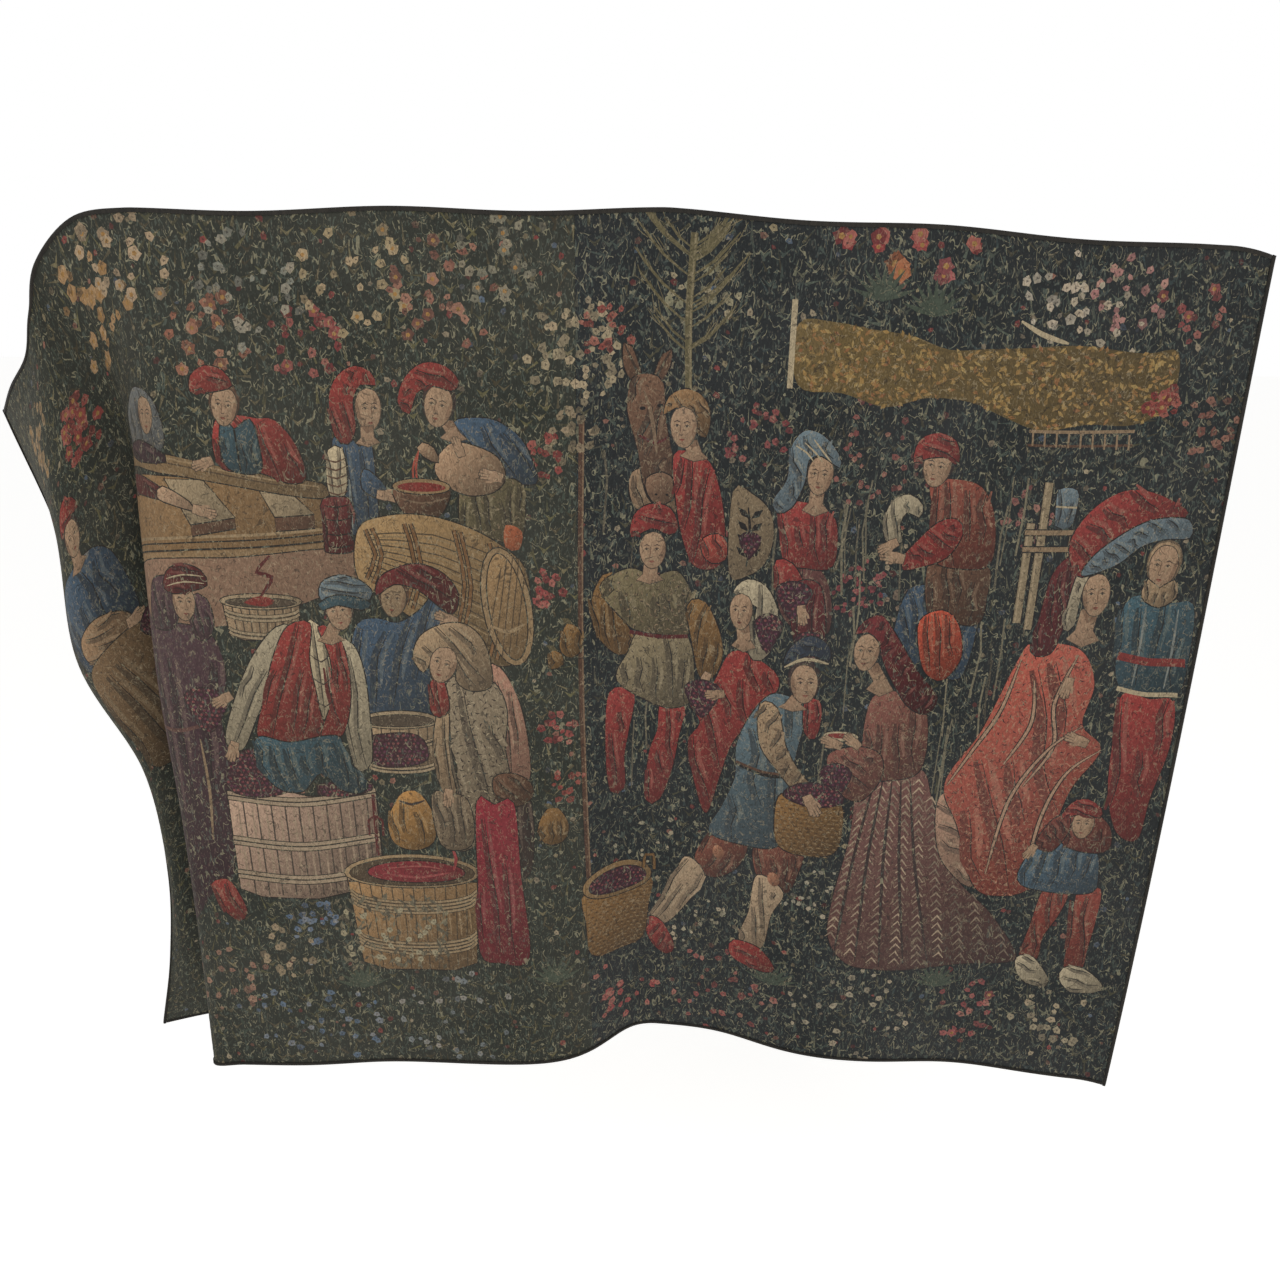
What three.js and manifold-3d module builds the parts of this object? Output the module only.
// A lined tapestry wall hanging on stand-off wall hooks, with its left end slipped off its hook.
// Millimetres. X runs to the right along the wall, Z is up, the wall is the plane Y = 0 and the
// picture faces -Y. The origin is the middle of the back face of the middle wall plate.
import * as THREE from "three";
import { mergeVertices } from "three/addons/utils/BufferGeometryUtils.js";
import Module from "manifold-3d";

const wasm = await Module();
wasm.setup();

// ---- driving dimensions ----

// The cloth, laid flat: across is measured from the middle hook, down from the top edge.
const clothDrop = 1500;
const looseLength = 540; // the stretch at the left end that has slipped off its hook
const rightOverhang = 80; // past the last hook
const seamAcross = -137; // the upright seam between the two woven widths
const seamGap = 0.4;
const faceThickness = 2.2;
const liningThickness = 1.2;
const layerGap = 0.4;

// How it hangs.
const bottomStandOffLeft = 190; // at the bottom edge, left of the hollow
const bottomStandOffRight = 165; // at the bottom edge, right of the hollow
const hollowStandOff = 72; // at the bottom edge, in the hollow
const hollowAcross = 30;
const hollowLeftWidth = 150;
const hollowRightWidth = 240;
const hollowSharpness = 4;
const hollowReach = 1.5; // the finely divided part, in widths of the hollow
// Shallow ripples of the bottom edge: across, width, and how much nearer the wall.
const ripples = [
  [-550, 120, 12],
  [620, 150, 34],
];
const swellPower = 1.3; // how the folds grow from the top edge down
const pullInLeft = 35; // the folds draw the bottom edge in by this much on each side
const pullInRight = 28;
const pullInWidth = 165;
const downStretch = 0.998;
const topSag = 6; // between two hooks
const cornerSag = 14; // right of the last hook

// Wall hooks.
const hookSpacing = 415;
const hookCount = 5;
const hookDrops = [12, 4, 0, 18, 40]; // below the highest hook
const plateWidth = 24;
const plateHeight = 64;
const plateThickness = 3;
const plateCorner = 5;
const armDiameter = 5;
const armReach = 88; // the wall to the middle of the upturned tip
const armBend = 6;
const tipRise = 12;

// Screws and wall plugs.
const screwInset = 10; // from the plate's ends
const screwShank = 4.4;
const screwHead = 8.6;
const screwHeadDepth = 2.4;
const screwLength = 38;
const screwPoint = 6;
const screwHoleGap = 0.4;
const cutMargin = 1; // how far a cutting tool stands out of the plate
const plugGap = 0.4; // round the screw
const plugWall = 1.4;
const plugLength = 32;
const plugTaper = 6; // at its inner end
const plugRecess = 2.5; // the plug's mouth lies this far inside the wall

// Hanging rings and their tabs.
const ringWire = 3.2;
const ringRadius = 13; // to the middle of the wire
const ringBeforeBend = 2; // the ring's plane before the start of the arm's bend
const tipGap = 6.3; // the arm's tip to the header tape
const looseRingInset = 95; // the loose ring's place from the left edge
const seatGap = 0.5;
const tabWidth = 12;
const tabStrap = 1.5;
const tabLoopGap = 2.4; // round the wire
const tabStem = 3;
const tabFoot = 22; // the length that lies on the tape
const tabSlope = 15; // the height over which the stem comes forward to the tape
const tabFootGap = 1.7;
const header = 28; // the top edge of the cloth above the middle of a hook's arm

// Header tape.
const tapeAboveFoot = 22;
const tapeBelowFoot = 12;
const tapeThickness = 1.2;
const tapeInset = 14; // from the side edges

// Edge binding, folded over the edges.
const bindingWidth = 5;
const bindingThickness = 1;
const bindingGap = 0.8;

// The loose end, at even steps down (rows) and even steps to the left (columns). Each place is
// across from the flap's start line, further out than the top edge hangs, and lower than hung
// cloth would be.
const flapBeforeHook = 30; // its start line, to the right of the first hook
const flapRows = [
  [[-85, 0, 14], [-145, 10, 78], [-162, 18, 150], [-188, 0, 212], [-240, -32, 262], [-290, -80, 308]],
  [[-62, -38, 12], [-90, -55, 60], [-132, 8, 128], [-170, 25, 195], [-206, -20, 250], [-225, -72, 290]],
  [[-58, -10, 5], [-66, -64, 30], [-105, -35, 90], [-155, 8, 165], [-205, -15, 225], [-222, -70, 268]],
  [[-53, 20, 2], [-45, -50, 15], [-15, -78, 50], [-75, -74, 120], [-132, -40, 180], [-150, -74, 225]],
  [[-40, 35, 0], [-28, -45, 10], [30, -78, 30], [-50, -80, 80], [-118, -52, 130], [-140, -76, 190]],
  [[-32, 55, -1], [-15, -32, 5], [55, -78, 15], [-35, -82, 45], [-118, -60, 80], [-162, -74, 128]],
  [[-24, 86, -3], [-5, -2, -1], [60, -70, 2], [-30, -84, 8], [-112, -68, 15], [-190, -55, 28]],
];

// Fineness.
const flapCells = 26;
const leftCells = 5; // from the flap to the hollow
const seamCells = 2; // from the hollow's side to the seam
const hollowCells = 10; // from the seam to the hollow's other side
const rightCells = 7;
const downCells = 9;
const tapeCells = 2;
const ringSteps = 14;
const wireSides = 6;
const armSides = 8;
const armSteps = 10;
const cornerSteps = 2;
const roundSides = 10;
const probe = 0.5; // the step used to find the slope of the cloth

// ---- what follows from them ----

const lastHook = (hookCount - 1) / 2;
const hookAcross = (index) => (index - lastHook) * hookSpacing;
const flapStart = hookAcross(0) + flapBeforeHook;
const leftEdge = flapStart - looseLength;
const rightEdge = hookAcross(hookCount - 1) + rightOverhang;
const flapStep = looseLength / flapRows[0].length;
const liningBack = -layerGap - liningThickness;
const tapeFront = liningBack - layerGap;
const tapeBack = tapeFront - tapeThickness;
const ringInner = ringRadius - ringWire / 2;
const ringDrop = ringInner - armDiameter / 2 - seatGap; // the ring's middle below the arm's
const wireDrop = ringDrop + ringRadius; // the low side of the ring below the arm
const loopInner = ringWire / 2 + tabLoopGap;
const loopOuter = loopInner + tabStrap;
const footTopDrop = wireDrop + loopOuter + tabSlope; // the foot's ends below the arm
const footBottomDrop = footTopDrop + tabFoot;
const tapeTop = header + footTopDrop - tapeAboveFoot; // below the top edge
const tapeBottom = header + footBottomDrop + tapeBelowFoot;
const ringStandOff = armReach - armBend - ringBeforeBend; // the wall to the rings' plane
// The wall to the back of the face cloth, at the top edge.
const topStandOff = armReach + armDiameter / 2 + tipGap - tapeBack;
const screwOffset = plateHeight / 2 - screwInset; // above and below the plate's middle

// ---- how the cloth hangs ----

function topHeight(across) {
  const place = Math.max(0, across / hookSpacing + lastHook);
  if (place >= hookCount - 1) {
    const past = (across - hookAcross(hookCount - 1)) / (rightEdge - hookAcross(hookCount - 1));
    return header - hookDrops[hookCount - 1] - cornerSag * past * past;
  }
  const left = Math.floor(place);
  const part = place - left;
  const drop = hookDrops[left] * (1 - part) + hookDrops[left + 1] * part;
  return header - drop - (topSag * (1 - Math.cos(2 * Math.PI * part))) / 2;
}

function bottomStandOff(across) {
  const isLeft = across < hollowAcross;
  const out = isLeft ? bottomStandOffLeft : bottomStandOffRight;
  const steps = (across - hollowAcross) / (isLeft ? hollowLeftWidth : hollowRightWidth);
  const hollow = 1 / (1 + Math.abs(steps) ** hollowSharpness);
  const rippled = ripples.reduce((sum, [middle, width, depth]) => {
    return sum + depth * Math.exp(-(((across - middle) / width) ** 2));
  }, 0);
  return out + (hollowStandOff - out) * hollow - rippled;
}

function hungPart(across, down) {
  const swell = (down / clothDrop) ** swellPower;
  const pullIn = across < hollowAcross ? pullInLeft : pullInRight;
  const x = across - pullIn * swell * swell * Math.tanh((across - hollowAcross) / pullInWidth);
  const out = topStandOff + (bottomStandOff(across) - topStandOff) * swell;
  return new THREE.Vector3(x, -out, topHeight(across) - down * downStretch);
}

const flapLines = flapRows[0].map((_, column) => {
  const places = flapRows.map((row, step) => {
    const [x, further, lower] = row[column];
    const hung = topHeight(hookAcross(0)) - (clothDrop * step) / (flapRows.length - 1);
    return new THREE.Vector3(flapStart + x, -topStandOff - further, hung - lower);
  });
  return new THREE.CatmullRomCurve3(places, false, "catmullrom", 0.5);
});

function loosePart(across, down) {
  const places = flapLines.map((line) => line.getPoint(down / clothDrop));
  places.unshift(hungPart(flapStart + flapStep, down), hungPart(flapStart, down));
  const row = new THREE.CatmullRomCurve3(places, false, "catmullrom", 0.5);
  const steps = (flapStart - across) / flapStep + 1;
  return row.getPoint(steps / (places.length - 1));
}

function clothPoint(across, down) {
  return across < flapStart ? loosePart(across, down) : hungPart(across, down);
}

// The place on the cloth with its directions; past an edge it goes straight on.
function clothFrame(across, down) {
  const insideAcross = THREE.MathUtils.clamp(across, leftEdge + probe, rightEdge - probe);
  const insideDown = THREE.MathUtils.clamp(down, probe, clothDrop - probe);
  const point = clothPoint(insideAcross, insideDown);
  const alongAcross = clothPoint(insideAcross + probe, insideDown)
    .sub(clothPoint(insideAcross - probe, insideDown))
    .normalize();
  const alongDown = clothPoint(insideAcross, insideDown + probe)
    .sub(clothPoint(insideAcross, insideDown - probe))
    .normalize();
  const front = alongDown.clone().cross(alongAcross).normalize();
  point.addScaledVector(front.clone().cross(alongDown), across - insideAcross);
  point.addScaledVector(alongAcross.clone().cross(front), down - insideDown);
  return { point, alongAcross, front };
}

function clothPlace(across, down, offset) {
  const { point, front } = clothFrame(across, down);
  return point.addScaledVector(front, offset);
}

// ---- solids ----

function solidFrom(points, index) {
  const geometry = new THREE.BufferGeometry();
  geometry.setAttribute("position", new THREE.Float32BufferAttribute(points.flatMap((p) => p.toArray()), 3));
  geometry.setIndex(index);
  const flat = geometry.toNonIndexed();
  flat.computeVertexNormals();
  return flat;
}

// A sheet of cloth between two offsets from the hung surface.
function sheetSolid(acrosses, downs, backOffset, frontOffset) {
  const columns = acrosses.length;
  const rows = downs.length;
  const points = [];
  for (const offset of [frontOffset, backOffset]) {
    for (const down of downs) {
      for (const across of acrosses) {
        points.push(clothPlace(across, down, offset));
      }
    }
  }
  const front = (column, row) => row * columns + column;
  const back = (column, row) => rows * columns + front(column, row);
  const index = [];
  for (let row = 0; row < rows - 1; row++) {
    for (let column = 0; column < columns - 1; column++) {
      const corners = [[column, row], [column, row + 1], [column + 1, row + 1], [column + 1, row]];
      const [a, b, c, d] = corners.map(([i, j]) => front(i, j));
      const [e, f, g, h] = corners.map(([i, j]) => back(i, j));
      index.push(a, b, c, a, c, d, e, g, f, e, h, g);
    }
  }
  const rim = [];
  for (let row = 0; row < rows - 1; row++) rim.push([0, row]);
  for (let column = 0; column < columns - 1; column++) rim.push([column, rows - 1]);
  for (let row = rows - 1; row > 0; row--) rim.push([columns - 1, row]);
  for (let column = columns - 1; column > 0; column--) rim.push([column, 0]);
  rim.forEach(([i, j], place) => {
    const [k, l] = rim[(place + 1) % rim.length];
    index.push(front(i, j), back(i, j), back(k, l), front(i, j), back(k, l), front(k, l));
  });
  return solidFrom(points, index);
}

// A closed section carried along a row of stations; each station gives the section's points.
function sweptSolid(stations) {
  const sides = stations[0].length;
  const points = stations.flat();
  const index = [];
  for (let station = 0; station < stations.length - 1; station++) {
    for (let side = 0; side < sides; side++) {
      const next = (side + 1) % sides;
      const a = station * sides + side;
      const b = station * sides + next;
      index.push(a, b + sides, b, a, a + sides, b + sides);
    }
  }
  const outline = stations[0].map((_, side) => new THREE.Vector2(...bindingSection[side]));
  const caps = THREE.ShapeUtils.triangulateShape(outline, []);
  const last = (stations.length - 1) * sides;
  for (const [a, b, c] of caps) {
    index.push(a, b, c, last + c, last + b, last + a);
  }
  return solidFrom(points, index);
}

// The binding's section: distance in from the edge, and offset from the hung surface.
const bindingFront = faceThickness + bindingGap;
const bindingBack = liningBack - bindingGap;
const bindingSection = [
  [-bindingGap - bindingThickness, bindingBack - bindingThickness],
  [bindingWidth, bindingBack - bindingThickness],
  [bindingWidth, bindingBack],
  [-bindingGap, bindingBack],
  [-bindingGap, bindingFront],
  [bindingWidth, bindingFront],
  [bindingWidth, bindingFront + bindingThickness],
  [-bindingGap - bindingThickness, bindingFront + bindingThickness],
];

function bindingSolid(stations, edgePlace) {
  const sections = stations.map((station) => {
    return bindingSection.map(([inward, offset]) => {
      const [across, down] = edgePlace(station, inward);
      return clothPlace(across, down, offset);
    });
  });
  return sweptSolid(sections);
}

// A lathed piece that stands on the XZ plane and points along +Y.
function turned(profile) {
  const outline = profile.map(([radius, along]) => new THREE.Vector2(radius, along));
  return new THREE.LatheGeometry(outline, roundSides);
}

function toManifold(geometry) {
  const bare = geometry.index ? geometry.toNonIndexed() : geometry.clone();
  bare.deleteAttribute("normal");
  bare.deleteAttribute("uv");
  const merged = mergeVertices(bare, 1e-3);
  const vertProperties = merged.attributes.position.array;
  return new wasm.Manifold(new wasm.Mesh({ numProp: 3, vertProperties, triVerts: merged.index.array }));
}

function fromManifold(solid) {
  const mesh = solid.getMesh();
  const geometry = new THREE.BufferGeometry();
  geometry.setAttribute("position", new THREE.Float32BufferAttribute(mesh.vertProperties, 3));
  geometry.setIndex(Array.from(mesh.triVerts));
  const flat = geometry.toNonIndexed();
  flat.computeVertexNormals();
  return flat;
}

function roundShape(radius, sides) {
  const shape = new THREE.Shape();
  for (let side = 0; side < sides; side++) {
    const angle = (2 * Math.PI * (side + 0.5)) / sides;
    const point = [radius * Math.cos(angle), radius * Math.sin(angle)];
    if (side === 0) shape.moveTo(...point);
    else shape.lineTo(...point);
  }
  shape.closePath();
  return shape;
}

// ---- wall hook: a plate with a round arm that ends in an upturned tip ----

function plateShape() {
  const w = plateWidth / 2;
  const h = plateHeight / 2;
  const r = plateCorner;
  const shape = new THREE.Shape();
  shape.moveTo(-w + r, -h);
  shape.lineTo(w - r, -h);
  shape.absarc(w - r, -h + r, r, -Math.PI / 2, 0);
  shape.lineTo(w, h - r);
  shape.absarc(w - r, h - r, r, 0, Math.PI / 2);
  shape.lineTo(-w + r, h);
  shape.absarc(-w + r, h - r, r, Math.PI / 2, Math.PI);
  shape.lineTo(-w, -h + r);
  shape.absarc(-w + r, -h + r, r, Math.PI, 1.5 * Math.PI);
  return shape;
}

function hookGeometry() {
  const plate = new THREE.ExtrudeGeometry(plateShape(), {
    depth: plateThickness,
    bevelEnabled: false,
    curveSegments: cornerSteps,
  });
  plate.rotateX(Math.PI / 2);
  const path = new THREE.CurvePath();
  const bendStart = new THREE.Vector3(0, -(armReach - armBend), 0);
  const bendCorner = new THREE.Vector3(0, -armReach, 0);
  const bendEnd = new THREE.Vector3(0, -armReach, armBend);
  path.add(new THREE.LineCurve3(new THREE.Vector3(0, -plateThickness / 2, 0), bendStart));
  path.add(new THREE.QuadraticBezierCurve3(bendStart, bendCorner, bendEnd));
  path.add(new THREE.LineCurve3(bendEnd, new THREE.Vector3(0, -armReach, tipRise)));
  const arm = new THREE.ExtrudeGeometry(roundShape(armDiameter / 2, armSides), {
    steps: armSteps,
    extrudePath: path,
    bevelEnabled: false,
  });
  let solid = toManifold(plate).add(toManifold(arm));
  const holeRadius = screwShank / 2 + screwHoleGap;
  const sinkRadius = screwHead / 2 + screwHoleGap;
  for (const side of [-1, 1]) {
    const hole = turned([
      [0, -plateThickness - cutMargin],
      [sinkRadius + cutMargin, -plateThickness - cutMargin],
      [sinkRadius, -plateThickness],
      [holeRadius, -plateThickness + screwHeadDepth],
      [holeRadius, cutMargin],
      [0, cutMargin],
    ]);
    hole.translate(0, 0, side * screwOffset);
    solid = solid.subtract(toManifold(hole));
  }
  return fromManifold(solid);
}

function screwGeometry() {
  return turned([
    [0, -plateThickness],
    [screwHead / 2, -plateThickness],
    [screwShank / 2, -plateThickness + screwHeadDepth],
    [screwShank / 2, screwLength - screwPoint],
    [0, screwLength],
  ]);
}

function plugGeometry() {
  const inner = screwShank / 2 + plugGap;
  const outer = inner + plugWall;
  return turned([
    [inner, plugRecess],
    [outer, plugRecess],
    [outer, plugLength - plugTaper],
    [inner + plugWall / 2, plugLength],
    [inner, plugLength],
    [inner, plugRecess],
  ]);
}

// ---- ring and tab ----

function ringGeometry() {
  const ring = new THREE.TorusGeometry(ringRadius, ringWire / 2, wireSides, ringSteps);
  ring.rotateX(Math.PI / 2);
  ring.rotateY(Math.PI / ringSteps);
  return ring;
}

// The tab's side view: a loop round the wire, a stem that slopes forward, and a foot on the tape.
// Its x runs out from the wall and its y is up, both from the middle of the wire. The tape's back
// lies outAtTop and outAtBottom in front of the wire, at the foot's two ends.
function tabGeometry(outAtTop, outAtBottom) {
  const top = outAtTop - tabFootGap;
  const bottom = outAtBottom - tabFootGap;
  const footTop = -loopOuter - tabSlope;
  const stemSide = tabStem / 2;
  const stemTop = -loopOuter + tabStrap / 2;
  const shape = new THREE.Shape();
  shape.moveTo(-stemSide, stemTop);
  shape.lineTo(top - tabStrap, footTop - tabStem);
  shape.lineTo(bottom - tabStrap, footTop - tabFoot);
  shape.lineTo(bottom, footTop - tabFoot);
  shape.lineTo(top, footTop);
  shape.lineTo(stemSide, stemTop);
  for (let turn = 0; turn <= roundSides; turn++) {
    const angle = -Math.PI / 3 + (turn / roundSides) * ((5 * Math.PI) / 3);
    shape.lineTo(loopOuter * Math.cos(angle), loopOuter * Math.sin(angle));
  }
  shape.closePath();
  shape.holes.push(roundShape(loopInner, roundSides));
  const tab = new THREE.ExtrudeGeometry(shape, { depth: tabWidth, bevelEnabled: false });
  tab.translate(0, 0, -tabWidth / 2);
  tab.applyMatrix4(new THREE.Matrix4().makeBasis(
    new THREE.Vector3(0, -1, 0),
    new THREE.Vector3(0, 0, 1),
    new THREE.Vector3(-1, 0, 0),
  ));
  return tab;
}

// ---- materials ----

const material = (color, roughness, metalness) => {
  return new THREE.MeshStandardMaterial({ color, roughness, metalness });
};
const materials = {
  tapestry: material(0x3f3d33, 0.95, 0),
  lining: material(0xa39479, 0.95, 0),
  binding: material(0x1d1c1a, 0.9, 0),
  webbing: material(0xb8aa8c, 0.9, 0),
  brass: material(0xa88646, 0.35, 1),
  iron: material(0x2a2a2c, 0.5, 1),
  screw: material(0xb5b5b8, 0.35, 1),
  plug: material(0x8d9096, 0.7, 0),
};

const hanging = new THREE.Group();

function addPiece(name, geometry, finish, parent = hanging) {
  const mesh = new THREE.Mesh(geometry, materials[finish]);
  mesh.name = name;
  parent.add(mesh);
  return mesh;
}

// ---- the cloth ----

function evenSteps(from, to, cells) {
  return Array.from({ length: cells + 1 }, (_, step) => from + ((to - from) * step) / cells);
}

const hollowLeft = hollowAcross - hollowReach * hollowLeftWidth;
const hollowRight = hollowAcross + hollowReach * hollowRightWidth;
const leftStations = [
  leftEdge,
  ...evenSteps(leftEdge + bindingWidth, flapStart, flapCells),
  ...evenSteps(flapStart, hollowLeft, leftCells).slice(1),
  ...evenSteps(hollowLeft, seamAcross - seamGap / 2, seamCells).slice(1),
];
const rightStations = [
  ...evenSteps(seamAcross + seamGap / 2, hollowRight, hollowCells),
  ...evenSteps(hollowRight, rightEdge - bindingWidth, rightCells).slice(1),
  rightEdge,
];
const tapeDowns = evenSteps(tapeTop, tapeBottom, tapeCells);
const downStations = [
  0,
  bindingWidth,
  ...tapeDowns,
  ...evenSteps(tapeBottom, clothDrop - bindingWidth, downCells).slice(1),
  clothDrop,
];
const allStations = [...leftStations, ...rightStations];

addPiece("woven_panel_left", sheetSolid(leftStations, downStations, 0, faceThickness), "tapestry");
addPiece("woven_panel_right", sheetSolid(rightStations, downStations, 0, faceThickness), "tapestry");
addPiece("lining", sheetSolid(allStations, downStations, liningBack, -layerGap), "lining");

const tapeStations = [
  leftEdge + tapeInset,
  ...allStations.filter((across) => across > leftEdge + tapeInset && across < rightEdge - tapeInset),
  rightEdge - tapeInset,
];
addPiece("header_tape", sheetSolid(tapeStations, tapeDowns, tapeBack, tapeFront), "webbing");

const cornerGap = bindingWidth + bindingGap;
const betweenSides = allStations.filter((across) => {
  return across > leftEdge + cornerGap && across < rightEdge - cornerGap;
});
const edgeStations = [leftEdge + cornerGap, ...betweenSides, rightEdge - cornerGap];
const overhang = bindingGap + bindingThickness;
const sideStations = [-overhang, ...downStations.slice(1, -1), clothDrop + overhang];

const topBinding = bindingSolid(edgeStations, (across, inward) => [across, inward]);
const bottomBinding = bindingSolid([...edgeStations].reverse(), (across, inward) => [across, clothDrop - inward]);
const leftBinding = bindingSolid([...sideStations].reverse(), (down, inward) => [leftEdge + inward, down]);
const rightBinding = bindingSolid(sideStations, (down, inward) => [rightEdge - inward, down]);
addPiece("edge_binding_top", topBinding, "binding");
addPiece("edge_binding_bottom", bottomBinding, "binding");
addPiece("edge_binding_left", leftBinding, "binding");
addPiece("edge_binding_right", rightBinding, "binding");

// ---- hooks, screws, plugs, rings and tabs ----

// How far the tape's back lies in front of the rings, over the tab's width, at a height below
// the middle of the arm.
function tapeOut(across, below) {
  const sides = [across - tabWidth / 2, across + tabWidth / 2];
  const outs = sides.map((side) => -clothPlace(side, header + below, tapeBack).y);
  return Math.min(...outs) - ringStandOff;
}

for (let index = 0; index < hookCount; index++) {
  const number = index + 1;
  const place = new THREE.Group();
  place.position.set(hookAcross(index), 0, -hookDrops[index]);
  hanging.add(place);
  addPiece(`wall_hook_${number}`, hookGeometry(), "iron", place);
  for (const [side, word] of [[1, "upper"], [-1, "lower"]]) {
    const screw = addPiece(`hook_screw_${number}_${word}`, screwGeometry(), "screw", place);
    screw.position.z = side * screwOffset;
    const plug = addPiece(`wall_plug_${number}_${word}`, plugGeometry(), "plug", place);
    plug.position.z = side * screwOffset;
  }
  const ring = addPiece(`hanging_ring_${number}`, ringGeometry(), "brass", place);
  ring.position.set(0, -ringStandOff, -ringDrop);
  const outs = [footTopDrop, footBottomDrop].map((below) => tapeOut(hookAcross(index), below));
  const tab = addPiece(`ring_tab_${number}`, tabGeometry(...outs), "webbing", place);
  tab.position.set(0, -ringStandOff, -wireDrop);
}

// The sixth ring hangs from the loose corner: its tab keeps its place on the tape there.
const loose = clothFrame(leftEdge + looseRingInset, header + wireDrop);
const looseTab = new THREE.Group();
looseTab.position.copy(loose.point).addScaledVector(loose.front, -(topStandOff - ringStandOff));
looseTab.setRotationFromMatrix(new THREE.Matrix4().makeBasis(
  loose.alongAcross,
  loose.front.clone().negate(),
  loose.alongAcross.clone().cross(loose.front.clone().negate()),
));
hanging.add(looseTab);
const flatOut = topStandOff + tapeBack - ringStandOff;
addPiece(`ring_tab_${hookCount + 1}`, tabGeometry(flatOut, flatOut), "webbing", looseTab);
const looseRing = addPiece(`hanging_ring_${hookCount + 1}`, ringGeometry(), "brass", looseTab);
looseRing.position.z = -ringRadius;

export default hanging;
